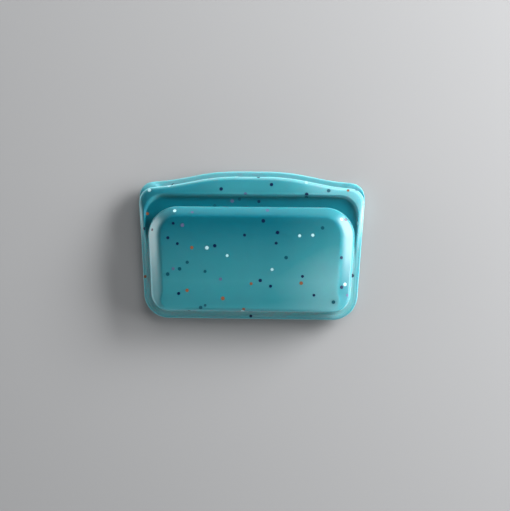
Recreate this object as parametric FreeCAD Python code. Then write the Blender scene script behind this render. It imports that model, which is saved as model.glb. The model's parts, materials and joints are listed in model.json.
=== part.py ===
"""Reusable silicone snack bag, lying on its back with the mouth shut. All sizes are in millimetres.

The bag is two moulded halves, bonded to each other along a flange on three sides. Each half
ends above the pouch in a lip. A rib on the front lip presses into a track of two rails on the back
lip, and two stops close the ends of the track.

+X runs across the bag, +Y from the bottom seam to the mouth and +Z out of the front. The
origin is on the surface that the back lies on, under the middle of the bag's length and width.
"Depth" is measured from the seam plane: outwards through the front half or the back half.
"""
import FreeCAD, Part
import math
import os

from FreeCAD import Vector

# Plan of the bag
bag_width = 190.0           # across the mouth corners, the widest line
bag_height = 124.0          # bottom edge to the crown of the back lip
side_slope = 0.065          # half-width lost per millimetre below the fold line
bottom_corner = 21.0        # radius of the two bottom corners
mouth_corner = 10.0         # radius of the two mouth corners
fold_below_crown = 26.0     # fold line of the lips, below the crown of the back lip

# Pouch: its front face slopes, and is deeper towards the mouth
flange_width = 6.0          # flat border round the pouch
pouch_top_gap = 3.2         # from the pouch's top wall to the fold line
pouch_bottom_radius = 15.5  # plan radii of the pouch's corners
pouch_top_radius = 25.0
front_depth = 15.0          # seam plane to the front face at its top edge
front_low_depth = 12.0      # and at its bottom edge
back_depth = 7.0            # seam plane to the flat back
front_shoulder = 9.0        # seam plane to the top of the steep wall, in front
back_shoulder = 3.4
shoulder_break = 0.6        # bevel along the top of the steep wall
wall_lean = 0.5             # how far the steep wall leans in
side_run = 12.0             # run of the slope between the steep wall and the face
top_run = 9.0
bottom_run = 4.0
slope_bands = 4             # flat bands in which it eases into the face
wall = 1.4                  # pouch wall
flange_leaf = 1.4           # each half's share of the flange
bond_thickness = 0.4        # cured silicone between the two flanges

# Neck, the short passage between the pouch and the lips
neck_half_gap = 2.2         # seam plane to the inside of the neck
neck_wall = 1.6
neck_half_width = 80.0
neck_end_slope = 4.0        # run of the sloping ends of the neck

# Lips
lip_step = 4.6              # how much shorter the front lip is than the back lip
front_lip_inset = 1.5       # how much narrower it is on each side
shoulder_drop = 10.4        # mouth corner below the lip's crown
arch_foot_drop = 7.6        # foot of the raised middle below the lip's crown
arch_foot_half = 68.0       # half-width at the foot of the raised middle
arch_top_half = 33.0        # half-width of its top
arch_foot_blend = 60.0      # radii that round the foot and the top
arch_top_blend = 120.0
crest_depth = 6.2           # outer depth of the front lip at its crest
crest_from_fold = 8.2       # fold line to crest
crest_rise_run = 4.4        # run of the slope from the valley up to the crest
crest_round = 2.5           # rounding along the crest and along the foot of its slope
crest_half_width = 70.0     # the crest is level this far from the middle
crest_end_blend = 40.0      # rounding where it starts to fall
rim_depth = 2.6             # outer depth of the lips at the sides of the bag
front_tip_depth = 3.0       # outer depth of the front lip at its free edge
back_tip_depth = 2.6
lip_wall = 2.0              # thickness at the free edges
edge_bevel = 0.5            # bevel round the flange and the shoulders

# Press seal
seal_from_fold = 8.4        # fold line to the middle of the rib
stop_length = 2.4           # blocks that close the ends of the track
rib_root = 3.3              # width of the rib at the lip
rib_tip = 1.5               # width of the rib at its rounded tip
seal_clearance = 0.25       # rib's root to the rails, each side
rail_width = 1.5
rail_head_gap = 1.8         # top of the rails to the front lip
rib_floor_gap = 1.4         # tip of the rib to the back lip
front_seal_depth = 3.2      # inner depth of the front lip over the seal

# Joints
fold_clearance = 0.15       # bead to socket at the fold line
body_gap = 0.3              # between pieces that move apart

# Levels and lines worked out from the sizes above
seam_z = back_depth
crown_y = bag_height / 2
bottom_y = -bag_height / 2
fold_y = crown_y - fold_below_crown
pouch_top_y = fold_y - pouch_top_gap
face_inset = wall_lean + shoulder_break
face_low_y = bottom_y + flange_width + face_inset + bottom_run
face_top_y = pouch_top_y - face_inset - top_run
bead_radius = neck_wall / 2
bead_depth = neck_half_gap + neck_wall / 2
flange_depth = bond_thickness / 2 + flange_leaf
seal_y = fold_y + seal_from_fold
crest_y = fold_y + crest_from_fold
neck_depth = neck_half_gap + neck_wall
passage_half = neck_half_width - neck_wall
seal_half_length = passage_half - stop_length
neck_start_y = pouch_top_y - pouch_top_radius / 2
rim_fade_y = pouch_top_y - pouch_top_radius
reach = bag_width           # longer than any cut has to be
FRONT, BACK = 1, -1


def half_width(y):
    """Half the bag's width at height y, below the fold line."""
    return bag_width / 2 - side_slope * (fold_y - y)


def rounded_wire(corners, radii, plane):
    """Closed wire through the corners, each rounded to its radius. plane maps (a, b) to a point."""
    count = len(corners)
    ends = []
    for i, radius in enumerate(radii):
        at = Vector(*corners[i], 0)
        before = (Vector(*corners[i - 1], 0) - at).normalize()
        after = (Vector(*corners[(i + 1) % count], 0) - at).normalize()
        half = before.getAngle(after) / 2
        inward = (before + after).normalize()
        tangent = radius / math.tan(half)
        middle = at + inward * (radius / math.sin(half) - radius)
        ends.append((at + before * tangent, middle, at + after * tangent))
    edges = []
    for i, (start, middle, end) in enumerate(ends):
        if radii[i] > 0:
            arc = [plane(p.x, p.y) for p in (start, middle, end)]
            edges.append(Part.Arc(*arc).toShape())
        follow = ends[(i + 1) % count][0]
        if end.distanceToPoint(follow) > 1e-6:
            edges.append(Part.LineSegment(plane(end.x, end.y), plane(follow.x, follow.y)).toShape())
    return Part.Wire(edges)


def level(z):
    """Plane for outlines seen from above, at height z."""
    return lambda x, y: Vector(x, y, z)


def section(side, x):
    """Plane for (y, depth) profiles of one half of the bag, at station x."""
    return lambda y, depth: Vector(x, y, seam_z + side * depth)


def cross_section(side, y):
    """Plane for (x, depth) profiles of one half of the bag, at height y."""
    return lambda x, depth: Vector(x, y, seam_z + side * depth)


def prism(wire, travel):
    """Solid swept from a flat wire, whichever way round the wire runs."""
    return Part.Face(wire).extrude(travel)


def lengthwise(side, profile, half_length, radii=None):
    """A (y, depth) profile carried across the bag to half_length each side of the middle."""
    wire = rounded_wire(profile, radii or [0] * len(profile), section(side, -half_length))
    return prism(wire, Vector(2 * half_length, 0, 0))


def slab(side, outline, near, far):
    """Flat plate with an outline seen from above, between two depths of one half."""
    corners, radii = outline
    z = seam_z + side * near
    return prism(rounded_wire(corners, radii, level(z)), Vector(0, 0, side * (far - near)))


def outer_rim(side, shape, wanted):
    """Outer edges of a plate's side walls where wanted(x, y) holds at mid-edge."""
    def is_wall(face):
        u, _, v, _ = face.ParameterRange
        return abs(face.normalAt(u, v).z) < 0.01
    edges = []
    for edge in shape.Edges:
        middle = edge.valueAt((edge.FirstParameter + edge.LastParameter) / 2)
        walls = sum(is_wall(face) for face in shape.ancestorsOfType(edge, Part.Face))
        outside = side * (middle.z - seam_z) > bond_thickness
        if walls == 1 and outside and wanted(middle.x, middle.y):
            edges.append(edge)
    return edges


def bag_outline():
    """Border of the bag up to the fold line, and its corner radii."""
    corners = [(-half_width(bottom_y), bottom_y), (half_width(bottom_y), bottom_y),
               (half_width(fold_y), fold_y), (-half_width(fold_y), fold_y)]
    return corners, [bottom_corner, bottom_corner, 0, 0]


def pouch_outline(inset=0.0, slope=0.0):
    """Outline of the pouch, and its corner radii: inset evenly from the foot of its wall, and
    further by a share of the slope's run."""
    low = bottom_y + flange_width + inset + slope * bottom_run
    high = pouch_top_y - inset - slope * top_run
    side = flange_width + inset + slope * side_run
    corners = [(-half_width(low) + side, low), (half_width(low) - side, low),
               (half_width(high) - side, high), (-half_width(high) + side, high)]
    bottom = pouch_bottom_radius - inset - slope * (side_run + bottom_run) / 2
    top = pouch_top_radius - inset - slope * (side_run + top_run) / 2
    return corners, [bottom, bottom, top, top]


def lip_half_width(side):
    """Half the lip's width: the front lip is a little narrower than the back one."""
    return bag_width / 2 - (front_lip_inset if side == FRONT else 0.0)


def lip_outline(side):
    """Lip seen from above, from the fold line to its arched free edge."""
    crown = crown_y - (lip_step if side == FRONT else 0.0)
    half = lip_half_width(side)
    right = [(half, crown - shoulder_drop), (arch_foot_half, crown - arch_foot_drop),
             (arch_top_half, crown)]
    left = [(-x, y) for x, y in reversed(right)]
    blends = [mouth_corner, arch_foot_blend, arch_top_blend]
    return [(-half, fold_y), (half, fold_y)] + right + left, [0, 0] + blends + blends[::-1]


def sloping(side, low, high):
    """Plane for outlines whose depth changes evenly from the face's bottom edge to its top edge."""
    rate = (high - low) / (face_top_y - face_low_y)
    return lambda x, y: Vector(x, y, seam_z + side * (low + rate * (y - face_low_y)))


def pouch_form(side, skin=0.0):
    """Outside of the pouch on the seam plane, or one skin in from it: a steep wall, and above its
    shoulder a slope that eases into the face."""
    shoulder, low, high = back_shoulder, back_depth, back_depth
    if side == FRONT:
        shoulder, low, high = front_shoulder, front_low_depth, front_depth
    steep = shoulder - shoulder_break - skin
    wires = [rounded_wire(*pouch_outline(skin), level(seam_z)),
             rounded_wire(*pouch_outline(skin + wall_lean), level(seam_z + side * steep))]
    for band in range(slope_bands + 1):
        share = band / slope_bands
        eased = 1 - (1 - share) ** 2
        plane = sloping(side, shoulder + eased * (low - shoulder) - skin,
                        shoulder + eased * (high - shoulder) - skin)
        wires.append(rounded_wire(*pouch_outline(skin + face_inset, share), plane))
    return Part.makeLoft(wires, True, True)


def neck_form(side, depth, half, end):
    """Solid or void of the neck: a flat tunnel with sloping ends, up to y = end."""
    corners = [(-half - neck_end_slope, 0), (half + neck_end_slope, 0), (half, depth), (-half, depth)]
    wire = rounded_wire(corners, [0] * 4, cross_section(side, neck_start_y))
    return prism(wire, Vector(0, end - neck_start_y, 0))


def arched_section(side, y, half, rim, level_half, high, blend):
    """Section across the bag: level in the middle, and falling to bevelled rims at its sides."""
    right = [(half, -1), (half, rim - edge_bevel), (half - edge_bevel, rim), (level_half, high)]
    left = [(-x, depth) for x, depth in reversed(right)]
    return rounded_wire(right + left, [0, 0, 0, blend, blend, 0, 0, 0], cross_section(side, y))


def shoulders(side):
    """Ramp beside the pouch's top corners, from the flange up to the neck and the lip's ends."""
    level_half = neck_half_width + neck_end_slope
    sections = [(rim_fade_y, flange_depth - edge_bevel, flange_depth),
                (neck_start_y, rim_depth, neck_depth), (fold_y, rim_depth, neck_depth)]
    wires = [arched_section(side, y, half_width(y), rim, level_half, high, 0)
             for y, rim, high in sections]
    return Part.makeLoft(wires, True, True)


def fold_bead(side, radius, half):
    """Round bead on the fold line."""
    start = Vector(-half, fold_y, seam_z + side * bead_depth)
    return Part.makeCylinder(radius, 2 * half, start, Vector(1, 0, 0))


def fold_cut(side):
    """Cutter that ends the pouch short of the fold line and hollows the socket for the bead."""
    socket = bead_radius + fold_clearance
    low = [(fold_y - fold_clearance, -1), (fold_y + reach, -1), (fold_y + reach, bead_depth),
           (fold_y - fold_clearance, bead_depth)]
    high = [(fold_y - socket, bead_depth), (fold_y + reach, bead_depth), (fold_y + reach, reach),
            (fold_y - socket, reach)]
    return [lengthwise(side, low, reach), lengthwise(side, high, reach),
            fold_bead(side, socket, reach)]


def pouch_half(side):
    """Front or back half of the pouch: flange, hollow pouch, shoulders, neck wall and socket."""
    leaf = slab(side, bag_outline(), bond_thickness / 2, flange_depth)
    leaf = leaf.makeChamfer(edge_bevel, outer_rim(side, leaf, lambda x, y: y < fold_y))
    neck = neck_form(side, neck_depth, neck_half_width, fold_y)
    body = leaf.multiFuse([pouch_form(side), neck, shoulders(side)])
    below_seam = lengthwise(side, [(-reach, -reach), (reach, -reach), (reach, bond_thickness / 2),
                                   (-reach, bond_thickness / 2)], reach)
    void = neck_form(side, neck_half_gap, passage_half, fold_y + 1)
    return body.cut([below_seam, pouch_form(side, wall), void] + fold_cut(side)).removeSplitter()


def seam_bond():
    """Cured bead of silicone between the two flanges, round three sides of the pouch."""
    near, far = -bond_thickness / 2, bond_thickness / 2
    sheet = slab(FRONT, bag_outline(), near, far)
    opening = slab(FRONT, pouch_outline(wall), near, far)
    end = neck_half_width + neck_end_slope
    mouth = [(-end, neck_start_y), (end, neck_start_y), (end, fold_y), (-end, fold_y)]
    passage = slab(FRONT, (mouth, [0] * 4), near, far)
    return sheet.cut([opening, passage] + fold_cut(FRONT))


def lip(side):
    """One lip: neck wall, crest or flat, tapering to the free edge, with solid ends that meet."""
    past = crown_y + 1 - (lip_step if side == FRONT else 0.0)
    near = fold_y + fold_clearance
    face = body_gap / 2
    foot = [(near, face), (near, neck_half_gap), (fold_y, neck_half_gap), (fold_y, neck_depth)]
    if side == FRONT:
        high = crest_depth
        outer = [(crest_y - crest_rise_run, neck_depth), (crest_y, high), (past, front_tip_depth)]
        bends = [crest_round, crest_round, 0]
        inner = [(seal_y - 1.5 * rib_root, neck_half_gap), (seal_y - rib_root, front_seal_depth),
                 (seal_y + rib_root, front_seal_depth), (past, front_tip_depth - lip_wall)]
    else:
        high = neck_depth
        outer = [(seal_y, high), (past, back_tip_depth)]
        bends = [crest_round, 0]
        inner = [(seal_y + rib_root, neck_half_gap), (past, back_tip_depth - lip_wall)]
    half = lip_half_width(side)
    body = lengthwise(side, foot + outer + [(past, face)], half, [0] * 4 + bends + [0])
    taper = arched_section(side, fold_y, half, rim_depth, crest_half_width, high, crest_end_blend)
    body = body.common(slab(side, lip_outline(side), face, high))
    body = body.common(prism(taper, Vector(0, fold_below_crown, 0)))
    hollow = [(fold_y - 1, -1), (fold_y - 1, neck_half_gap)] + inner + [(past, -1)]
    body = body.cut(lengthwise(side, hollow, passage_half))
    return body.fuse(fold_bead(side, bead_radius, neck_half_width)).removeSplitter()


def seal_rib():
    """Rib under the front lip, tapered to a rounded tip so that it swings out of the track."""
    tip_depth = -(neck_half_gap - rib_floor_gap)
    root, end = rib_root / 2, rib_tip / 2
    profile = [(seal_y - root, front_seal_depth), (seal_y - end, tip_depth),
               (seal_y + end, tip_depth), (seal_y + root, front_seal_depth)]
    return lengthwise(FRONT, profile, seal_half_length - body_gap, [0, end * 0.9, end * 0.9, 0])


def track_rail(hand):
    """One rail of the track on the back lip: hand is -1 for the inner rail, 1 for the outer."""
    near = rib_root / 2 + seal_clearance
    centre = seal_y + hand * (near + rail_width / 2)
    head = -(front_seal_depth - rail_head_gap)
    half = rail_width / 2
    profile = [(centre - half, neck_half_gap), (centre + half, neck_half_gap),
               (centre + half, head), (centre - half, head)]
    return lengthwise(BACK, profile, seal_half_length, [0, 0, half * 0.8, half * 0.8])


def track_stops():
    """Two blocks that close the ends of the track, against the thick ends of the back lip."""
    width = rib_root + 2 * (seal_clearance + rail_width)
    head = -(front_seal_depth - rail_head_gap)
    end = passage_half - body_gap
    blocks = []
    for hand in (-1, 1):
        corners = [(hand * seal_half_length, seal_y - width / 2), (hand * end, seal_y - width / 2),
                   (hand * end, seal_y + width / 2), (hand * seal_half_length, seal_y + width / 2)]
        blocks.append(slab(BACK, (corners, [0] * 4), neck_half_gap, head))
    return Part.makeCompound(blocks)


def main():
    os.makedirs("parts", exist_ok=True)
    pieces = {
        "front_panel": pouch_half(FRONT),
        "back_panel": pouch_half(BACK),
        "seam_bond": seam_bond(),
        "front_lip": lip(FRONT),
        "back_lip": lip(BACK),
        "seal_rib": seal_rib(),
        "inner_track_rail": track_rail(-1),
        "outer_track_rail": track_rail(1),
        "track_stops": track_stops(),
    }
    for name, shape in pieces.items():
        shape.exportStep(f"parts/{name}.step")
        print(name, "valid" if shape.isValid() else "INVALID", len(shape.Solids), "solid(s)",
              round(shape.Volume / 1000, 2), "cm3")


main()
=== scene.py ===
import json
import math

import bmesh
import bpy
import numpy as np
from mathutils import Matrix, Vector


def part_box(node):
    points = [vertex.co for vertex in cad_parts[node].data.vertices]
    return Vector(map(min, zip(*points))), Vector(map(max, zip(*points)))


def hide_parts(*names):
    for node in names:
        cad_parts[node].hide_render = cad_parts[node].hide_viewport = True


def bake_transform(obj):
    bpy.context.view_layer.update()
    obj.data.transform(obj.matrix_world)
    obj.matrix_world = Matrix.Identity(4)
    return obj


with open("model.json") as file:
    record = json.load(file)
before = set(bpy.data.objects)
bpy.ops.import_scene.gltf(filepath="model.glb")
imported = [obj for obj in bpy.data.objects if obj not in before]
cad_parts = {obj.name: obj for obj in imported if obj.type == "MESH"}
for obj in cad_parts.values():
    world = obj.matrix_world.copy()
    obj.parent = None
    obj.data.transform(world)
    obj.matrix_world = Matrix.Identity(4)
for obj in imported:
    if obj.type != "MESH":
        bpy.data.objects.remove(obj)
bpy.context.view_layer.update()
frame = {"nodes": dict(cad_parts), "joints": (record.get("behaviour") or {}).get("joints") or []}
mm = 0.001
print("frame loaded:", len(frame["nodes"]), "nodes")

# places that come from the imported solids
jointPlace = {joint["name"]: joint["pos_m"] for joint in frame["joints"]}
foldY = jointPlace["front_lip_open"][1]
bondLow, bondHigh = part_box("seam_bond")
seamZ = (bondLow.z + bondHigh.z) / 2
bondHalf = (bondHigh.z - bondLow.z) / 2
bottomY = bondLow.y
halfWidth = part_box("back_lip")[1].x
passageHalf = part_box("track_stops")[1].x
sealY = (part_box("seal_rib")[0].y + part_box("seal_rib")[1].y) / 2

# the bag seen from above, the same for both halves
plan = {
    "sideSlope": 0.065,
    "bottomCorner": 21 * mm,
    "flange": 6 * mm,
    "pouchTopGap": 3.9 * mm,
    "pouchBottomCorner": 15.5 * mm,
    "pouchTopCorner": 25 * mm,
    "faceBottomInset": 3 * mm,      # foot of the wall to the edge of the face
    "faceTopInset": 8 * mm,
    "faceHalf": 76 * mm,
    "mouthTurnDrop": 1.5 * mm,      # where the side turns towards the mouth, below the fold line
    "mouthTurnBlend": 20 * mm,
    "shoulderDrop": 10.4 * mm,
    "archFootDrop": 7.6 * mm,
    "archFootHalf": 68 * mm,
    "archTopHalf": 28 * mm,
    "archFootBlend": 70 * mm,
    "archTopBlend": 165 * mm,
    "crestY": foldY + 6.9 * mm,
    "crestInset": 4.2 * mm,         # crest to the bag's side, where it turns down past the pouch
    "crestCorner": 16 * mm,
    "crestEnd": 92 * mm,            # from the middle, where the crest is as low as the side rim
    "centreHalf": 50 * mm,          # segment on which the face closes
    "centreY": -11.5 * mm,
    "centreFollow": 0.75,           # share by which its points follow those of the wall's foot
}

# stretches along the bag over which one level passes into the next
stretches = {
    "sideRim": (-12 * mm, foldY - 4 * mm),
    "crest": (foldY - 14 * mm, foldY + 2 * mm),
    "valley": (0, foldY - 16 * mm),
    "edge": (4 * mm, foldY - 4 * mm),
    "passage": (foldY - 16 * mm, foldY - 12 * mm),
    "lipEnds": (foldY - 6 * mm, foldY),
}

# outside of both halves: how far the flange rises, and the curves of the wall and of the face
flangeRise = {"middle": 0.2 * mm, "rim": 0.1 * mm}
wallCurve = {"wallEnd": 0.22, "bendEnd": 0.48, "bendAcross": 0.12, "bendDown": 0.1,
             "slopeAcross": 0.48, "slopeUp": 0.62, "faceAcross": 0.78}
faceCurve = {"reach": 1.2, "samples": 481, "soften": {"reach": 24, "width": 9.0}, "sidePower": 3.5}
cornerSoften = {"reach": 16, "width": 7.0}

# inside of both halves
inside = {
    "neckGap": 2.2 * mm,
    "lipEndGap": 0.18 * mm,         # between the solid ends of the lips and the seam plane
    "sealHalf": 3.6 * mm,           # half the width that the rib and its rails take
    "endSlope": 1 * mm,             # how gently the passage closes at its ends, at the seal
    "tipEndSlope": 12 * mm,         # and at the free edge
    "slopeRun": 5.04 * mm,          # from the seal, the length over which the one becomes the other
    "edgeRound": 0.3 * mm,
}

# depths are measured from the seam plane, outwards through that half
frontSkin = {
    "name": "frontSkin", "side": 1, "nodes": ["front_panel", "front_lip"], "lip": "front_lip",
    "crown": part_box("front_lip")[1].y, "lipHalf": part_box("front_lip")[1].x, "mouthCorner": 11.5 * mm,
    "flangeDepth": 1.6 * mm, "neckDepth": 3.2 * mm, "rimDepth": 4.8 * mm, "crestDepth": 6.1 * mm,
    "tipDepth": 3.0 * mm, "edgeRound": 0.8 * mm, "crestHalf": 54 * mm,
    "wallForm": {"reach": {"side": 12.6 * mm, "top": 9.0 * mm, "bottom": 3.0 * mm},
                 "shoulder": {"side": 6.2 * mm, "top": 9.0 * mm, "bottom": 10.4 * mm},
                 "bend": {"side": 1.2 * mm, "top": 1.3 * mm, "bottom": 1.0 * mm},
                 "lean": 0.5 * mm, "slope": 0.5},
    "wall": 1.4 * mm, "tipWall": 1.9 * mm, "sealDepth": 3.2 * mm,
    # depth of the face up its middle, from the bottom of the pouch (-1) to its top (1)
    "face": [(-1.0, 11.6), (-0.8, 12.3), (-0.62, 12.6), (-0.3, 13.2), (0.0, 13.75), (0.3, 14.2),
             (0.6, 14.5), (0.8, 14.65), (0.95, 14.95), (1.05, 14.85)],
    "sideFall": 1.4 * mm,
}
backSkin = {
    "name": "backSkin", "side": -1, "nodes": ["back_panel", "back_lip"], "lip": "back_lip",
    "crown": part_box("back_lip")[1].y, "lipHalf": halfWidth, "mouthCorner": 12 * mm,
    "flangeDepth": 1.6 * mm, "neckDepth": 3.4 * mm, "rimDepth": 2.6 * mm, "crestDepth": 3.8 * mm,
    "tipDepth": 2.6 * mm, "edgeRound": 0.7 * mm, "crestHalf": 50 * mm,
    "wallForm": {"reach": {"side": 12 * mm, "top": 9.5 * mm, "bottom": 5 * mm},
                 "shoulder": {"side": 3.6 * mm, "top": 4.2 * mm, "bottom": 3.8 * mm},
                 "bend": {"side": 1.3 * mm, "top": 0.9 * mm, "bottom": 1.3 * mm},
                 "lean": 0.5 * mm, "slope": 0.45},
    "wall": 1.4 * mm, "tipWall": 1.9 * mm, "sealDepth": 2.2 * mm,
    "face": [(-1.0, 6.4), (-0.9, 6.8), (-0.75, 6.95), (0.0, 7.0), (0.75, 6.95), (0.9, 6.8), (1.0, 6.4)],
    "sideFall": 0.3 * mm,
}

# points along half a ring, from the middle of the bottom to the middle of the mouth
ringPoints = {"bottom": 34, "bottomCorner": 30, "side": 24, "topCorner": 40, "top": 26}
stretchCounts = list(ringPoints.values())
# where the side stretch ends, and where the last one begins
topCornerY = foldY - plan["pouchTopGap"] - plan["pouchTopCorner"]
topStretchHalf = {"crest": 62 * mm, "border": 64 * mm}
ringCounts = {"edge": 6, "lip": 14, "valley": 28, "wall": 26, "face": 22, "inside": 14, "leaf": 14}
# powers that bunch the rings of a stretch, and the shares of a stretch where the crest begins and ends
ringSpacing = {"faceInside": 0.85, "lipRound": 1.35, "valley": 1.3, "face": 1.15,
               "crestFrom": 0.9, "crestFall": 0.26}


def ease(value, start, end):
    share = np.clip((value - start) / (end - start), 0, 1)
    return share * share * (3 - 2 * share)


def mix(a, b, share):
    return a + (b - a) * share


def softened(values, reach, width):
    # the same values with their steps rounded off
    weights = np.exp(-0.5 * (np.arange(-reach, reach + 1) / width) ** 2)
    return np.convolve(np.pad(values, reach, mode="edge"), weights / weights.sum(), mode="valid")


def roundedPath(corners, radii, step=0.25 * mm):
    # points through the corners, each rounded to its radius, and where each rounding lies
    points, spans = [np.array(corners[0], float)], []
    for i, radius in enumerate(radii, 1):
        at = np.array(corners[i], float)
        before, after = points[-1] - at, np.array(corners[i + 1], float) - at
        before, after = before / np.linalg.norm(before), after / np.linalg.norm(after)
        half = math.acos(np.clip(before @ after, -1, 1)) / 2
        inward = (before + after) / np.linalg.norm(before + after)
        centre = at + inward * radius / math.sin(half)
        start, end = at + before * radius / math.tan(half), at + after * radius / math.tan(half)
        points.append(start)
        first = len(points) - 1
        turn = math.pi - 2 * half
        count = max(4, int(turn * radius / step))
        a, b = start - centre, end - centre
        for k in range(1, count + 1):
            t = k / count
            points.append(centre + (a * math.sin((1 - t) * turn) + b * math.sin(t * turn)) / math.sin(turn))
        spans.append((first, len(points) - 1))
    points.append(np.array(corners[-1], float))
    return np.array(points), spans


def along(path, marks, counts):
    # evenly spaced points between each pair of marks, which are lengths along the path
    steps = np.linalg.norm(np.diff(path, axis=0), axis=1)
    length = np.concatenate([[0], np.cumsum(steps)])
    places = [np.array([0.0])]
    for start, end, count in zip(marks[:-1], marks[1:], counts):
        places.append(np.linspace(start, end, count + 1)[1:])
    places = np.concatenate(places)
    return np.stack([np.interp(places, length, path[:, k]) for k in (0, 1)], axis=1)


def lengthAt(path, index):
    return float(np.linalg.norm(np.diff(path[:index + 1], axis=0), axis=1).sum())


def sideX(y):
    return halfWidth - plan["sideSlope"] * (foldY - y)


def passing(path, first, axis, value):
    # length along the path to where x or y first passes a value, from a given point on
    i = next(i for i in range(first + 1, len(path))
             if min(path[i - 1:i + 1, axis]) <= value <= max(path[i - 1:i + 1, axis]))
    share = (value - path[i - 1, axis]) / (path[i, axis] - path[i - 1, axis])
    return mix(lengthAt(path, i - 1), lengthAt(path, i), share)


def guideMarks(path, bottomSpan, topX):
    # the same five stretches on each guiding line
    side = passing(path, bottomSpan[1], 1, topCornerY)
    top = passing(path, bottomSpan[1], 0, topX)
    return [0, lengthAt(path, bottomSpan[0]), lengthAt(path, bottomSpan[1]), side, top,
            lengthAt(path, len(path) - 1)]


def footLine():
    # foot of the pouch's wall
    flange = plan["flange"]
    low, high = bottomY + flange, foldY - plan["pouchTopGap"]
    corners = [(0, low), (sideX(low) - flange, low), (sideX(high) - flange, high), (0, high)]
    path, spans = roundedPath(corners, [plan["pouchBottomCorner"], plan["pouchTopCorner"]])
    marks = [0] + [lengthAt(path, i) for span in spans for i in span] + [lengthAt(path, len(path) - 1)]
    return along(path, marks, stretchCounts)


def crestLine():
    # middle of the flange on three sides, and the crest of the lips
    middle, high = plan["flange"] / 2, plan["crestY"]
    low = bottomY + middle
    corners = [(0, low), (sideX(low) - middle, low), (sideX(high) - plan["crestInset"], high), (0, high)]
    path, spans = roundedPath(corners, [plan["bottomCorner"] - middle, plan["crestCorner"]])
    return along(path, guideMarks(path, spans[0], topStretchHalf["crest"]), stretchCounts)


def borderLine(skin):
    # outline of one half, up to the arched edge of its lip
    crown, turnY = skin["crown"], foldY - plan["mouthTurnDrop"]
    corners = [(0, bottomY), (sideX(bottomY), bottomY), (sideX(turnY), turnY),
               (skin["lipHalf"], crown - plan["shoulderDrop"]),
               (plan["archFootHalf"], crown - plan["archFootDrop"]), (plan["archTopHalf"], crown),
               (0, crown)]
    radii = [plan["bottomCorner"], plan["mouthTurnBlend"], skin["mouthCorner"],
             plan["archFootBlend"], plan["archTopBlend"]]
    path, spans = roundedPath(corners, radii)
    return along(path, guideMarks(path, spans[0], topStretchHalf["border"]), stretchCounts)


def planNormals(line):
    # unit vectors pointing out of the outline, for each point of a half ring
    step = np.gradient(line, axis=0)
    step[0] = (1, 0)
    step[-1] = (-1, 0)
    normal = np.stack([step[:, 1], -step[:, 0]], axis=1)
    return normal / np.linalg.norm(normal, axis=1)[:, None]


def crestDepths(skin, line):
    x, y = np.abs(line[:, 0]), line[:, 1]
    rim = mix(skin["flangeDepth"] + flangeRise["middle"], skin["rimDepth"], ease(y, *stretches["sideRim"]))
    high = mix(rim, skin["crestDepth"], ease(-x, -plan["crestEnd"], -skin["crestHalf"]))
    return mix(rim, high, ease(y, *stretches["crest"]))


def valleyDepths(skin, line):
    return mix(skin["flangeDepth"], skin["neckDepth"], ease(line[:, 1], *stretches["valley"]))


def borderDepths(skin, line):
    low = skin["flangeDepth"] + flangeRise["rim"]
    return mix(low, skin["tipDepth"], ease(line[:, 1], *stretches["edge"]))


def innerDepths(skin, x, y):
    # inside of the flange, of the neck and of the lip, with the solid ends beside the passage
    sealLow, sealHigh = sealY - inside["sealHalf"], sealY + inside["sealHalf"]
    passage = mix(inside["neckGap"], skin["sealDepth"], ease(y, sealLow - inside["sealHalf"] / 2, sealLow))
    tip = skin["tipDepth"] - skin["tipWall"]
    passage = mix(passage, tip, np.clip((y - sealHigh) / (skin["crown"] - sealHigh), 0, 1))
    slope = mix(inside["endSlope"], inside["tipEndSlope"], ease(y, sealHigh, sealHigh + inside["slopeRun"]))
    gate = ease(-np.abs(x), -passageHalf - slope, -passageHalf + slope / 2) * ease(y, *stretches["passage"])
    closed = mix(bondHalf, inside["lipEndGap"], ease(y, *stretches["lipEnds"]))
    return mix(closed, passage, gate)


def faceShare(y):
    # -1 at the bottom edge of the pouch's face, 1 at its top edge
    low = bottomY + plan["flange"] + plan["faceBottomInset"]
    high = foldY - plan["pouchTopGap"] - plan["faceTopInset"]
    return (y - (low + high) / 2) / ((high - low) / 2)


def faceDepths(skin, x, y):
    # a smooth curve up the middle of the face, falling away towards its sides
    knots, reach = np.array(skin["face"]), faceCurve["reach"]
    grid = np.linspace(-reach, reach, faceCurve["samples"])
    curve = softened(np.interp(grid, knots[:, 0], knots[:, 1]), **faceCurve["soften"])
    depth = np.interp(faceShare(y), grid, curve) * mm
    away = np.clip(np.abs(x) / plan["faceHalf"], 0, reach)
    return depth - skin["sideFall"] * away ** faceCurve["sidePower"]


def bySide(normals, values):
    # a size that differs between the sides, the top and the bottom of the pouch
    up = np.clip(normals[:, 1], 0, 1) ** 2
    down = np.clip(-normals[:, 1], 0, 1) ** 2
    size = values["side"] * (1 - up - down) + values["top"] * up + values["bottom"] * down
    return softened(size, **cornerSoften)


def ring(line, depth, light, leftwardPaintedLight=0.0):
    # plan place, depth, how light the silicone looks there, and how much painted light it gains on the left
    return np.column_stack([line, depth, np.broadcast_to(light, depth.shape),
                            np.broadcast_to(leftwardPaintedLight, depth.shape)])


def centreLine(foot):
    # the last ring closes on a segment across the face, its points about under those of the foot
    count = len(foot)
    share = 1 - np.abs(1 - 2 * np.arange(count) / (count - 1))
    across = (foot[:, 0] + foot[::-1, 0]) / 2
    follow = plan["centreFollow"]
    share = follow * across / across.max() + (1 - follow) * share
    return np.stack([plan["centreHalf"] * share, np.full(count, plan["centreY"])], axis=1)
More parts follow.
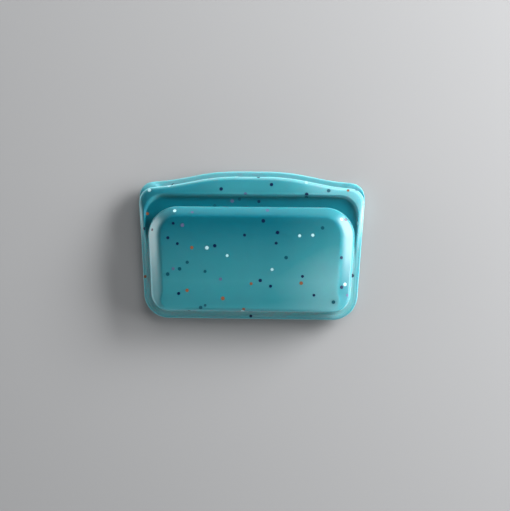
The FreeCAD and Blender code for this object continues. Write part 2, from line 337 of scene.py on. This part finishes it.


# how light the silicone looks, from 0 in thick and folded places to 1 on thin edges; partly the silicone's
# own colour by its thickness, partly painted shade in the neck's valley and below the pouch's top, and
# painted light on the flange, edges, crest, wall foot, rim slopes and side slopes
tone = {
    # painted glow on the thin edges, partly their own lighter colour
    "edge": 0.95, "flangeEdge": 0.6, "edgeWidth": 2.4 * mm,
    # flange painted light out of the pouch's shade, valley painted shade, crest painted light against its
    # shaded slope
    "flange": 1.0, "lip": 0.4, "crest": 0.58, "valley": 0.0,
    # wall foot and rim slope painted light out of their shade, side slopes painted light, leaf partly
    # painted light
    "wallFootPaintedLight": 0.65, "rimSlopePaintedLight": 0.3, "sideSlope": 0.55, "inside": 0.3, "leaf": 0.8,
    # how far painted light drifts across the bag, lighter to the right, but to the left on the side slopes
    "lipPaintedLight": 0.3, "valleyPaintedLight": 0.07, "rimPaintedLight": 0.3, "facePaintedLight": 0.13, "slopePaintedLight": 0.28,
    # up the middle of the face, from the bottom of the pouch (-1) to its top (1), darker towards the top as
    # painted shade below its ridge
    "face": [(-1.0, 0.50), (-0.82, 0.44), (-0.4, 0.49), (0.0, 0.38), (0.3, 0.27), (0.49, 0.18),
             (0.7, 0.07), (0.86, 0.0), (1.03, 0.0), (1.14, 0.03), (1.3, 0.1)],
}
# stretches over which one tone passes into the next, as y or as distance from the middle
toneStretches = {
    "neck": (0, foldY - 18 * mm), "lip": (0, foldY - 14 * mm), "thinEdge": (0, foldY - 6 * mm),
    "leaf": (foldY + 4 * mm, foldY + 16 * mm), "rimSlopePaintedLight": (83 * mm, 90 * mm),
    "lipPaintedLight": (10 * mm, 75 * mm), "valleyPaintedLight": (5 * mm, 75 * mm), "facePaintedLight": (12 * mm, 78 * mm),
}
# and as shares of the rings from the crest to the wall, and from the foot of the wall to the face
toneShares = {
    "crestFall": (0.12, 0.36), "rimSlopePaintedLightEnd": (0.3, 0.75),
    "wallRise": (0, 0.9), "slopeStart": (0.2, 0.5), "slopeEnd": (0.6, 1.0),
}


def bezier(t, *knots):
    # a point along a curve from its control values
    while len(knots) > 1:
        knots = [mix(k0, k1, t) for k0, k1 in zip(knots[:-1], knots[1:])]
    return knots[0]


def wallRings(skin, foot, normals, base, inset, count, depthOf, toneOf=None):
    # a steep wall, a bend at its shoulder and a broad slope up to the face
    wall = skin["wallForm"]
    reach = bySide(normals, wall["reach"]) - inset
    bend = bySide(normals, wall["bend"])
    shoulder = bySide(normals, wall["shoulder"]) - inset
    lean = wall["lean"]
    end = foot - normals * (inset + reach)[:, None]
    top = depthOf(end[:, 0], end[:, 1])
    rise = top - shoulder
    start = lean + bend
    run = reach - start
    wallTop = (lean + 0 * reach, shoulder - bend)
    bendMiddle = (lean + wallCurve["bendAcross"] * bend, shoulder - wallCurve["bendDown"] * bend)
    slopeStart = (start, shoulder + wall["slope"] * bend)
    slopeMiddle = (start + wallCurve["slopeAcross"] * run, shoulder + wallCurve["slopeUp"] * rise)
    faceStart = (start + wallCurve["faceAcross"] * run, top)
    # the shares of the rings that each stage starts and ends at, and the control values of its curve
    stages = [(0.0, wallCurve["wallEnd"], [(0 * reach, base), wallTop]),
              (wallCurve["wallEnd"], wallCurve["bendEnd"], [wallTop, bendMiddle, slopeStart]),
              (wallCurve["bendEnd"], 1.0, [slopeStart, slopeMiddle, faceStart, (reach, top)])]
    rings = []
    for k in range(1, count + 1):
        share = k / count
        first, last, knots = next(stage for stage in stages if share <= stage[1])
        t = (share - first) / (last - first)
        across = bezier(t, *[knot[0] for knot in knots])
        depth = bezier(t, *[knot[1] for knot in knots])
        line = foot - normals * (inset + across)[:, None]
        light = toneOf(line, normals, share) if toneOf else (tone["inside"], 0.0)
        rings.append(ring(line, depth, *light))
    return rings, end


def valleyTone(line, share):
    # painted shade: deep and dark in the neck's valley, partly for its thick silicone, plain on the flange,
    # with painted light on the slope beside the rim and to the right
    upper = ease(line[:, 1], *toneStretches["neck"])
    fall = mix(tone["crest"], tone["valley"], ease(np.full(len(line), share), *toneShares["crestFall"]))
    paintedLightBesideRim = ease(line[:, 0], *toneStretches["rimSlopePaintedLight"]) * (1 - ease(share, *toneShares["rimSlopePaintedLightEnd"]))
    body = mix(tone["flange"], mix(fall, tone["rimSlopePaintedLight"], paintedLightBesideRim), upper)
    paintedLightDrift = tone["valleyPaintedLight"] * ease(line[:, 0], *toneStretches["valleyPaintedLight"])
    return body, -upper * (paintedLightDrift + tone["rimPaintedLight"] * paintedLightBesideRim)


def wallTone(line, normals, share):
    # painted light: the slopes at the sides are the lightest, and the foot of the wall is lifted out of its
    # shade
    rise = ease(share, *toneShares["wallRise"])
    face, facePaintedLight = faceTone(line)
    height = ease(share, *toneShares["slopeStart"]) * (1 - ease(share, *toneShares["slopeEnd"]))
    paintedSlopeLight = normals[:, 0] ** 2 * float(height)
    light = mix(mix(tone["wallFootPaintedLight"], face, rise), tone["sideSlope"], paintedSlopeLight)
    return light, mix(facePaintedLight * rise, tone["slopePaintedLight"], paintedSlopeLight)


def leafTone(line):
    # the inner face of a lip, lighter where it thins towards its edge, partly painted light
    return mix(tone["inside"], tone["leaf"], ease(line[:, 1], *toneStretches["leaf"]))


def faceTone(line):
    # painted shade darker towards the top of the pouch, and painted light towards its right side
    knots = np.array(tone["face"])
    side = tone["facePaintedLight"] * ease(line[:, 0], *toneStretches["facePaintedLight"])
    return np.interp(faceShare(line[:, 1]), knots[:, 0], knots[:, 1]) + side, -side


def skinRings(skin):
    # half rings from the middle of the inner face, out round the edge and back over the outside
    border, crest, foot = borderLine(skin), crestLine(), footLine()
    outward, footOut = planNormals(border), planNormals(foot)
    centre = centreLine(foot)
    edge, high, valley = borderDepths(skin, border), crestDepths(skin, crest), valleyDepths(skin, foot)
    thickness, counts = skin["wall"], ringCounts

    def outerFace(x, y):
        return faceDepths(skin, x, y)

    def innerFace(x, y):
        return faceDepths(skin, x, y) - thickness

    # inside, from the middle of the face out to the border
    footInner = foot - footOut * thickness
    base = innerDepths(skin, footInner[:, 0], footInner[:, 1])
    wallIn, wallEnd = wallRings(skin, foot, footOut, base, thickness, counts["inside"], innerFace)
    faceIn = []
    for k in range(counts["inside"] + 1):
        line = mix(centre, wallEnd, (k / (counts["inside"] + 1)) ** ringSpacing["faceInside"])
        faceIn.append(ring(line, innerFace(line[:, 0], line[:, 1]), tone["inside"]))
    leafIn = []
    lipEdge = border - outward * inside["edgeRound"]
    for start, end in ((footInner, crest), (crest, lipEdge)):
        for k in range(counts["leaf"]):
            share = k / counts["leaf"]
            line = mix(start, end, share)
            depth = innerDepths(skin, line[:, 0], line[:, 1])
            if start is crest:                              # leaves the lip a wall where its edge is low
                depth = np.minimum(depth, mix(high, edge, share) - thickness)
            leafIn.append(ring(line, depth, leafTone(line)))
    low = np.minimum(innerDepths(skin, lipEdge[:, 0], lipEdge[:, 1]), edge - thickness)
    leafIn.append(ring(lipEdge, low, leafTone(lipEdge)))

    # round the edge, and back over the outside to the middle of the face
    r = skin["edgeRound"]
    # painted glow on the lip's edge, partly the thin silicone's own lighter colour
    edgeToneAndPaintedGlow = mix(tone["flangeEdge"], tone["edge"], ease(border[:, 1], *toneStretches["thinEdge"]))
    outside = [ring(border, low + inside["edgeRound"], edgeToneAndPaintedGlow)]
    for k in range(counts["edge"] + 1):
        turn = math.pi / 2 * k / counts["edge"]
        line = border - outward * r * (1 - math.cos(turn))
        outside.append(ring(line, edge - r * (1 - math.sin(turn)), edgeToneAndPaintedGlow))
    rimLine = border - outward * r
    width = np.linalg.norm(crest - rimLine, axis=1)
    body = mix(tone["flange"], tone["lip"], ease(crest[:, 1], *toneStretches["lip"]))
    # painted light: the lip lighter towards the right
    paintedLightDrift = -tone["lipPaintedLight"] * ease(crest[:, 0], *toneStretches["lipPaintedLight"]) * ease(crest[:, 1], 0, foldY)
    for k in range(1, counts["lip"] + 1):
        share = k / counts["lip"]
        lift = 1 - (1 - share) ** ringSpacing["lipRound"]   # rounds over at the crest
        light = mix(edgeToneAndPaintedGlow, body, np.clip(share * width / tone["edgeWidth"], 0, 1))
        # painted light on the crest
        if share >= ringSpacing["crestFrom"]:
            light = mix(body, tone["crest"], 0.5)
        outside.append(ring(mix(rimLine, crest, share), mix(edge, high, lift), light, paintedLightDrift))
    for k in range(1, counts["valley"] + 1):
        share = (k / counts["valley"]) ** ringSpacing["valley"]     # closer rings on the crest's slope
        line = mix(crest, foot, share)
        fall = ease(np.full(len(line), share), 0, ringSpacing["crestFall"])
        outside.append(ring(line, mix(high, valley, fall), *valleyTone(line, share)))
    wallOut, wallEnd = wallRings(skin, foot, footOut, valley, 0, counts["wall"], outerFace, wallTone)
    outside += wallOut
    for k in range(1, counts["face"] + 1):
        line = mix(wallEnd, centre, (k / counts["face"]) ** ringSpacing["face"])
        outside.append(ring(line, outerFace(line[:, 0], line[:, 1]), *faceTone(line)))
    return faceIn + wallIn + leafIn + outside


def skinMesh(skin):
    # one closed surface through the rings, the left half mirrored from the right
    rings = skinRings(skin)
    half = len(rings[0])
    count = 2 * half - 2
    points, rows = [], []
    for k, line in enumerate(rings):
        full = np.concatenate([line, line[-2:0:-1] * (-1, 1, 1, 1, 1)])
        if k in (0, len(rings) - 1):                        # closes on the segment in the middle
            row, known = [], {}
            for p in full:
                key = (round(p[0], 7), round(p[1], 7))
                if key not in known:
                    known[key] = len(points)
                    points.append(p)
                row.append(known[key])
        else:
            row = list(range(len(points), len(points) + count))
            points.extend(full)
        rows.append(row)
    faces = []
    for a, b in zip(rows[:-1], rows[1:]):
        for j in range(count):
            corners = [a[j], a[(j + 1) % count], b[(j + 1) % count], b[j]]
            faces.append([v for i, v in enumerate(corners) if v != corners[i - 1]])
    points = np.array(points)
    points[:, 2] = seamZ + skin["side"] * points[:, 2]
    # painted light: lighter to the right, and to the left on the side slopes
    light = points[:, 3] - np.sign(points[:, 0]) * points[:, 4]
    mesh = bpy.data.meshes.new(skin["name"])
    mesh.from_pydata(points[:, :3].tolist(), [], faces)
    mesh.attributes.new("tone", "FLOAT", "POINT").data.foreach_set("value", light.astype(np.float32))
    shape = bmesh.new()
    shape.from_mesh(mesh)
    bmesh.ops.recalc_face_normals(shape, faces=shape.faces)
    shape.to_mesh(mesh)
    shape.free()
    mesh.shade_smooth()
    piece = bpy.data.objects.new(skin["name"], mesh)
    bpy.context.scene.collection.objects.link(piece)
    return piece


# coloured specks in the silicone
specks = {
    "perSquareMetre": 2850.0, "radius": 1.45 * mm, "smallest": 0.8, "largest": 1.1, "sides": 18,
    "proud": 0.05 * mm, "sunk": 0.2 * mm, "seeds": {"frontSkin": 11, "backSkin": 4},
    "kindSeed": 7, "proudSpread": 0.03 * mm,
    # share of the specks from which each colour holds
    "colours": [(0.00, (0.000, 0.008, 0.060, 1)), (0.32, (0.000, 0.085, 0.130, 1)),
                (0.54, (0.290, 0.095, 0.040, 1)), (0.70, (0.480, 0.770, 0.820, 1)),
                (0.88, (0.120, 0.140, 0.270, 1))],
}

# finishes
tones = {
    "deep": (0.000, 0.162, 0.220, 1),
    "body": (0.046, 0.305, 0.360, 1),
    "light": (0.285, 0.605, 0.665, 1),
}
finish = {
    "glow": 1.0, "glowRadius": (0.12, 0.9, 1.0), "glowScale": 5 * mm,
    "roughness": 0.26, "roughnessSpread": 0.06, "gloss": 1.0, "ior": 1.43,
    "grainScale": 900.0, "grainBump": 0.02, "grainDepth": 0.1 * mm, "clouds": 22.0,
}


def link(tree, a, b):
    tree.links.new(a, b)


def addNode(tree, kind, **values):
    made = tree.nodes.new(kind)
    for name, value in values.items():
        setattr(made, name, value)
    return made


def siliconeGroup():
    # cloudy tone, satin grain and roughness that change over the surface
    tree = bpy.data.node_groups.new("siliconeSurface", "ShaderNodeTree")
    socket = tree.interface.new_socket
    for name, kind, value in (("Deep", "NodeSocketColor", tones["deep"]),
                              ("Body", "NodeSocketColor", tones["body"]),
                              ("Light", "NodeSocketColor", tones["light"]),
                              ("Tone", "NodeSocketFloat", 0.4),
                              ("Cloud Scale", "NodeSocketFloat", finish["clouds"]),
                              ("Cloud Amount", "NodeSocketFloat", 0.18),
                              ("Grain Scale", "NodeSocketFloat", finish["grainScale"]),
                              ("Roughness", "NodeSocketFloat", finish["roughness"]),
                              ("Roughness Spread", "NodeSocketFloat", finish["roughnessSpread"])):
        made = socket(name=name, in_out="INPUT", socket_type=kind)
        made.default_value = value
    for name, kind in (("Color", "NodeSocketColor"), ("Roughness", "NodeSocketFloat"),
                       ("Grain", "NodeSocketFloat")):
        socket(name=name, in_out="OUTPUT", socket_type=kind)
    given, result = addNode(tree, "NodeGroupInput"), addNode(tree, "NodeGroupOutput")
    place = addNode(tree, "ShaderNodeTexCoord")
    clouds = addNode(tree, "ShaderNodeTexNoise", noise_dimensions="3D")
    clouds.inputs["Detail"].default_value = 2
    grain = addNode(tree, "ShaderNodeTexNoise", noise_dimensions="3D")
    grain.inputs["Detail"].default_value = 3
    for texture, scale in ((clouds, "Cloud Scale"), (grain, "Grain Scale")):
        link(tree, place.outputs["Object"], texture.inputs["Vector"])
        link(tree, given.outputs[scale], texture.inputs["Scale"])
    cloudy = addNode(tree, "ShaderNodeMath", operation="MULTIPLY_ADD")
    link(tree, clouds.outputs["Fac"], cloudy.inputs[0])
    link(tree, given.outputs["Cloud Amount"], cloudy.inputs[1])
    link(tree, given.outputs["Tone"], cloudy.inputs[2])
    lower = addNode(tree, "ShaderNodeMapRange")
    lower.inputs["From Max"].default_value = 0.5
    upper = addNode(tree, "ShaderNodeMapRange")
    upper.inputs["From Min"].default_value = 0.5
    dark = addNode(tree, "ShaderNodeMix", data_type="RGBA")
    colour = addNode(tree, "ShaderNodeMix", data_type="RGBA")
    link(tree, cloudy.outputs[0], lower.inputs["Value"])
    link(tree, cloudy.outputs[0], upper.inputs["Value"])
    link(tree, lower.outputs["Result"], dark.inputs["Factor"])
    link(tree, given.outputs["Deep"], dark.inputs["A"])
    link(tree, given.outputs["Body"], dark.inputs["B"])
    link(tree, upper.outputs["Result"], colour.inputs["Factor"])
    link(tree, dark.outputs["Result"], colour.inputs["A"])
    link(tree, given.outputs["Light"], colour.inputs["B"])
    spread = addNode(tree, "ShaderNodeMath", operation="MULTIPLY_ADD")
    link(tree, clouds.outputs["Fac"], spread.inputs[0])
    link(tree, given.outputs["Roughness Spread"], spread.inputs[1])
    link(tree, given.outputs["Roughness"], spread.inputs[2])
    link(tree, colour.outputs["Result"], result.inputs["Color"])
    link(tree, spread.outputs[0], result.inputs["Roughness"])
    link(tree, grain.outputs["Fac"], result.inputs["Grain"])
    return tree


surfaceGroup = siliconeGroup()


def siliconeMaterial(name, cloudAmount=0.05, plainTone=None):
    material = bpy.data.materials.new(name)
    material.use_nodes = True
    tree = material.node_tree
    shader = tree.nodes["Principled BSDF"]
    surface = addNode(tree, "ShaderNodeGroup", node_tree=surfaceGroup)
    surface.inputs["Cloud Amount"].default_value = cloudAmount
    if plainTone is None:
        stored = addNode(tree, "ShaderNodeAttribute", attribute_name="tone")
        link(tree, stored.outputs["Fac"], surface.inputs["Tone"])
    else:
        surface.inputs["Tone"].default_value = plainTone
    bump = addNode(tree, "ShaderNodeBump")
    bump.inputs["Strength"].default_value = finish["grainBump"]
    bump.inputs["Distance"].default_value = finish["grainDepth"]
    link(tree, surface.outputs["Grain"], bump.inputs["Height"])
    link(tree, bump.outputs["Normal"], shader.inputs["Normal"])
    link(tree, surface.outputs["Color"], shader.inputs["Base Color"])
    link(tree, surface.outputs["Roughness"], shader.inputs["Roughness"])
    shader.inputs["IOR"].default_value = finish["ior"]
    shader.inputs["Specular IOR Level"].default_value = finish["gloss"]
    shader.inputs["Subsurface Weight"].default_value = finish["glow"]
    shader.inputs["Subsurface Radius"].default_value = finish["glowRadius"]
    shader.inputs["Subsurface Scale"].default_value = finish["glowScale"]
    return material


def speckMaterial():
    # each speck takes one of a few colours, with the grain of the silicone round it
    material = siliconeMaterial("speckSilicone", cloudAmount=0.1, plainTone=0.4)
    tree = material.node_tree
    shader = tree.nodes["Principled BSDF"]
    kind = addNode(tree, "ShaderNodeAttribute", attribute_name="speckKind")
    ramp = addNode(tree, "ShaderNodeValToRGB")
    ramp.color_ramp.interpolation = "CONSTANT"
    places = ramp.color_ramp.elements
    while len(places) < len(specks["colours"]):
        places.new(1.0)
    for place, (share, colour) in zip(places, specks["colours"]):
        place.position = share
        place.color = colour
    link(tree, kind.outputs["Fac"], ramp.inputs["Fac"])
    link(tree, ramp.outputs["Color"], shader.inputs["Base Color"])
    shader.inputs["Subsurface Weight"].default_value = 0.0
    return material


def speckTree():
    # thin discs scattered over a skin and pressed onto its surface
    tree = bpy.data.node_groups.new("speckScatter", "GeometryNodeTree")
    tree.is_modifier = True
    socket = tree.interface.new_socket
    for name, kind in (("Skin", "NodeSocketGeometry"), ("Per Square Metre", "NodeSocketFloat"),
                       ("Radius", "NodeSocketFloat"), ("Smallest", "NodeSocketFloat"),
                       ("Largest", "NodeSocketFloat"), ("Sides", "NodeSocketInt"),
                       ("Proud", "NodeSocketFloat"), ("Sunk", "NodeSocketFloat"),
                       ("Seed", "NodeSocketInt"), ("Material", "NodeSocketMaterial")):
        socket(name=name, in_out="INPUT", socket_type=kind)
    socket(name="Specks", in_out="OUTPUT", socket_type="NodeSocketGeometry")
    given, result = addNode(tree, "NodeGroupInput"), addNode(tree, "NodeGroupOutput")
    spots = addNode(tree, "GeometryNodeDistributePointsOnFaces", distribute_method="RANDOM")
    disc = addNode(tree, "GeometryNodeMeshCylinder", fill_type="TRIANGLE_FAN")
    disc.inputs["Depth"].default_value = 2.0                # from -1 to 1, which "upper" keeps
    disc.inputs["Fill Segments"].default_value = 3
    link(tree, given.outputs["Skin"], spots.inputs["Mesh"])
    link(tree, given.outputs["Per Square Metre"], spots.inputs["Density"])
    link(tree, given.outputs["Seed"], spots.inputs["Seed"])
    link(tree, given.outputs["Sides"], disc.inputs["Vertices"])
    link(tree, given.outputs["Radius"], disc.inputs["Radius"])
    place = addNode(tree, "GeometryNodeInputPosition")
    parts = addNode(tree, "ShaderNodeSeparateXYZ")
    upper = addNode(tree, "GeometryNodeStoreNamedAttribute", data_type="FLOAT", domain="POINT")
    upper.inputs["Name"].default_value = "upper"
    flat = addNode(tree, "GeometryNodeSetPosition")
    flatPlace = addNode(tree, "ShaderNodeCombineXYZ")
    link(tree, place.outputs[0], parts.inputs[0])
    link(tree, disc.outputs["Mesh"], upper.inputs["Geometry"])
    link(tree, parts.outputs["Z"], upper.inputs["Value"])
    link(tree, parts.outputs["X"], flatPlace.inputs["X"])
    link(tree, parts.outputs["Y"], flatPlace.inputs["Y"])
    link(tree, upper.outputs["Geometry"], flat.inputs["Geometry"])
    link(tree, flatPlace.outputs[0], flat.inputs["Position"])
    size = addNode(tree, "FunctionNodeRandomValue", data_type="FLOAT")
    link(tree, given.outputs["Smallest"], size.inputs[2])
    link(tree, given.outputs["Largest"], size.inputs[3])
    link(tree, given.outputs["Seed"], size.inputs["Seed"])
    copies = addNode(tree, "GeometryNodeInstanceOnPoints")
    link(tree, spots.outputs["Points"], copies.inputs["Points"])
    link(tree, spots.outputs["Rotation"], copies.inputs["Rotation"])
    link(tree, flat.outputs["Geometry"], copies.inputs["Instance"])
    link(tree, size.outputs[1], copies.inputs["Scale"])
    chance = addNode(tree, "FunctionNodeRandomValue", data_type="FLOAT")
    chance.inputs["Seed"].default_value = specks["kindSeed"]
    kinds = addNode(tree, "GeometryNodeStoreNamedAttribute", data_type="FLOAT", domain="INSTANCE")
    kinds.inputs["Name"].default_value = "speckKind"
    link(tree, copies.outputs["Instances"], kinds.inputs["Geometry"])
    link(tree, chance.outputs[1], kinds.inputs["Value"])
    whole = addNode(tree, "GeometryNodeRealizeInstances")
    link(tree, kinds.outputs["Geometry"], whole.inputs["Geometry"])
    nearest = {}
    for name, source in (("place", place), ("normal", addNode(tree, "GeometryNodeInputNormal"))):
        found = addNode(tree, "GeometryNodeSampleNearestSurface", data_type="FLOAT_VECTOR")
        link(tree, given.outputs["Skin"], found.inputs["Mesh"])
        link(tree, source.outputs[0], found.inputs["Value"])
        link(tree, place.outputs[0], found.inputs["Sample Position"])
        nearest[name] = found
    level = addNode(tree, "GeometryNodeInputNamedAttribute", data_type="FLOAT")
    level.inputs["Name"].default_value = "upper"
    kindAgain = addNode(tree, "GeometryNodeInputNamedAttribute", data_type="FLOAT")
    kindAgain.inputs["Name"].default_value = "speckKind"
    proud = addNode(tree, "ShaderNodeMath", operation="MULTIPLY_ADD")   # no two specks at one height
    proud.inputs[1].default_value = specks["proudSpread"]
    depth = addNode(tree, "ShaderNodeMapRange")
    depth.inputs["From Min"].default_value = -1.0
    down = addNode(tree, "ShaderNodeMath", operation="MULTIPLY")
    down.inputs[1].default_value = -1.0
    link(tree, kindAgain.outputs[0], proud.inputs[0])
    link(tree, given.outputs["Proud"], proud.inputs[2])
    link(tree, given.outputs["Sunk"], down.inputs[0])
    link(tree, level.outputs[0], depth.inputs["Value"])
    link(tree, down.outputs[0], depth.inputs["To Min"])
    link(tree, proud.outputs[0], depth.inputs["To Max"])
    lift = addNode(tree, "ShaderNodeVectorMath", operation="MULTIPLY_ADD")
    link(tree, nearest["normal"].outputs["Value"], lift.inputs[0])
    link(tree, depth.outputs["Result"], lift.inputs[1])
    link(tree, nearest["place"].outputs["Value"], lift.inputs[2])
    pressed = addNode(tree, "GeometryNodeSetPosition")
    link(tree, whole.outputs["Geometry"], pressed.inputs["Geometry"])
    link(tree, lift.outputs[0], pressed.inputs["Position"])
    coloured = addNode(tree, "GeometryNodeSetMaterial")
    link(tree, pressed.outputs["Geometry"], coloured.inputs["Geometry"])
    link(tree, given.outputs["Material"], coloured.inputs["Material"])
    link(tree, coloured.outputs["Geometry"], result.inputs["Specks"])
    return tree


speckNodes = speckTree()
speckFinish = speckMaterial()


def speckPiece(skinPiece, name, seed):
    holder = bpy.data.objects.new("speckHolder", skinPiece.data)
    bpy.context.scene.collection.objects.link(holder)
    scatter = holder.modifiers.new("specks", "NODES")
    scatter.node_group = speckNodes
    values = {"Per Square Metre": specks["perSquareMetre"], "Radius": specks["radius"],
              "Smallest": specks["smallest"], "Largest": specks["largest"], "Sides": specks["sides"],
              "Proud": specks["proud"], "Sunk": specks["sunk"], "Seed": seed, "Material": speckFinish}
    for item in speckNodes.interface.items_tree:
        if item.name in values:
            scatter[item.identifier] = values[item.name]
    evaluated = holder.evaluated_get(bpy.context.evaluated_depsgraph_get())
    mesh = bpy.data.meshes.new_from_object(evaluated)
    mesh.name = name
    bpy.data.objects.remove(holder)
    piece = bpy.data.objects.new(name, mesh)
    bpy.context.scene.collection.objects.link(piece)
    return piece


skinMaterial = siliconeMaterial("tealSilicone")
sealMaterial = siliconeMaterial("sealSilicone", cloudAmount=0.1, plainTone=0.35)
bondMaterial = siliconeMaterial("bondSilicone", cloudAmount=0.2, plainTone=0.05)

for skin in (frontSkin, backSkin):
    piece = skinMesh(skin)
    piece.data.materials.append(skinMaterial)
    dots = speckPiece(piece, skin["name"] + "Specks", specks["seeds"][skin["name"]])
    for made in (piece, dots):
        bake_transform(made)
    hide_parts(*skin["nodes"])
    print(skin["name"], "made:", len(piece.data.polygons), "faces,", len(dots.data.polygons), "on specks")

for name, node in frame["nodes"].items():
    node.data.materials.clear()
    node.data.materials.append(bondMaterial if name == "seam_bond" else sealMaterial)

# floor, light and camera
studio = {
    "floor": {"colour": (0.44, 0.443, 0.45, 1), "half": 4.0, "roughness": 0.9, "gloss": 0.1,
              "drop": 0.08 * mm},
    # strength of the light from all round and from above, and the heights between which it changes
    "world": {"colour": (0.95, 0.98, 1.0, 1), "horizon": 0.45, "zenith": 0.05, "heights": (0.25, 0.65)},
    # place, size, power, and whether the lamp shows as a reflection
    "lamps": {
        "keyLamp": ((1.40, 0.90, 0.43), (1.0, 0.40), 46.0, False),
        "sideLamp": ((1.50, 0.36, 0.468), (1.6, 0.42), 35.5, True),
        "topLamp": ((0.35, 0.80, 0.85), (1.0, 0.70), 4.5, False),
        "leftLamp": ((-1.50, 0.15, 0.24), (1.3, 0.25), 7.0, True),
        "frontLamp": ((0.20, -1.50, 0.26), (1.2, 0.25), 5.2, False),
    },
}


def floorPiece():
    values = studio["floor"]
    mesh = bpy.data.meshes.new("floor")
    reach = values["half"]
    mesh.from_pydata([(-reach, -reach, 0), (reach, -reach, 0), (reach, reach, 0), (-reach, reach, 0)], [],
                     [(0, 1, 2, 3)])
    floor = bpy.data.objects.new("floor", mesh)
    bpy.context.scene.collection.objects.link(floor)
    material = bpy.data.materials.new("paleFloor")
    material.use_nodes = True
    shader = material.node_tree.nodes["Principled BSDF"]
    shader.inputs["Base Color"].default_value = values["colour"]
    shader.inputs["Roughness"].default_value = values["roughness"]
    shader.inputs["Specular IOR Level"].default_value = values["gloss"]
    mesh.materials.append(material)
    floor.location.z = -values["drop"]


def areaLamp(name, place, size, power, reflected):
    data = bpy.data.lights.new(name, "AREA")
    data.shape = "RECTANGLE"
    data.size, data.size_y = size
    data.energy = power
    lamp = bpy.data.objects.new(name, data)
    lamp.location = place
    lamp.rotation_euler = (-Vector(place)).to_track_quat("-Z", "Y").to_euler()
    lamp.visible_glossy = reflected
    bpy.context.scene.collection.objects.link(lamp)


floorPiece()
for name, values in studio["lamps"].items():
    areaLamp(name, *values)


def studioWorld():
    # bright low walls all round and a dim ceiling
    values = studio["world"]
    world = bpy.data.worlds.new("studio")
    world.use_nodes = True
    tree = world.node_tree
    background = tree.nodes["Background"]
    background.inputs["Color"].default_value = values["colour"]
    place = addNode(tree, "ShaderNodeTexCoord")
    parts = addNode(tree, "ShaderNodeSeparateXYZ")
    level = addNode(tree, "ShaderNodeMapRange", interpolation_type="SMOOTHSTEP")
    level.inputs["From Min"].default_value, level.inputs["From Max"].default_value = values["heights"]
    level.inputs["To Min"].default_value = values["horizon"]
    level.inputs["To Max"].default_value = values["zenith"]
    link(tree, place.outputs["Generated"], parts.inputs[0])
    link(tree, parts.outputs["Z"], level.inputs["Value"])
    link(tree, level.outputs["Result"], background.inputs["Strength"])
    bpy.context.scene.world = world


studioWorld()

camera = {"aim": (3.6 * mm, -8.7 * mm, 10 * mm), "offset": (92 * mm, 0), "height": 1.4,
          "across": 0.4286, "roll": 0.6, "sensor": 36}
cameraData = bpy.data.cameras.new("camera")
cameraData.sensor_width = camera["sensor"]
cameraData.lens = camera["sensor"] * camera["height"] / camera["across"]
cameraObject = bpy.data.objects.new("camera", cameraData)
aim = Vector(camera["aim"])
cameraObject.location = aim + Vector((*camera["offset"], camera["height"]))
back = (cameraObject.location - aim).normalized()
turn = math.radians(camera["roll"])
right = Vector((math.cos(turn), math.sin(turn), 0))
up = back.cross(right).normalized()
cameraObject.rotation_mode = "QUATERNION"
cameraObject.rotation_quaternion = Matrix((up.cross(back), up, back)).transposed().to_quaternion()
bpy.context.scene.collection.objects.link(cameraObject)
bpy.context.scene.camera = cameraObject
bpy.context.scene.view_settings.view_transform = "Standard"
print("floor, lamps and camera placed")
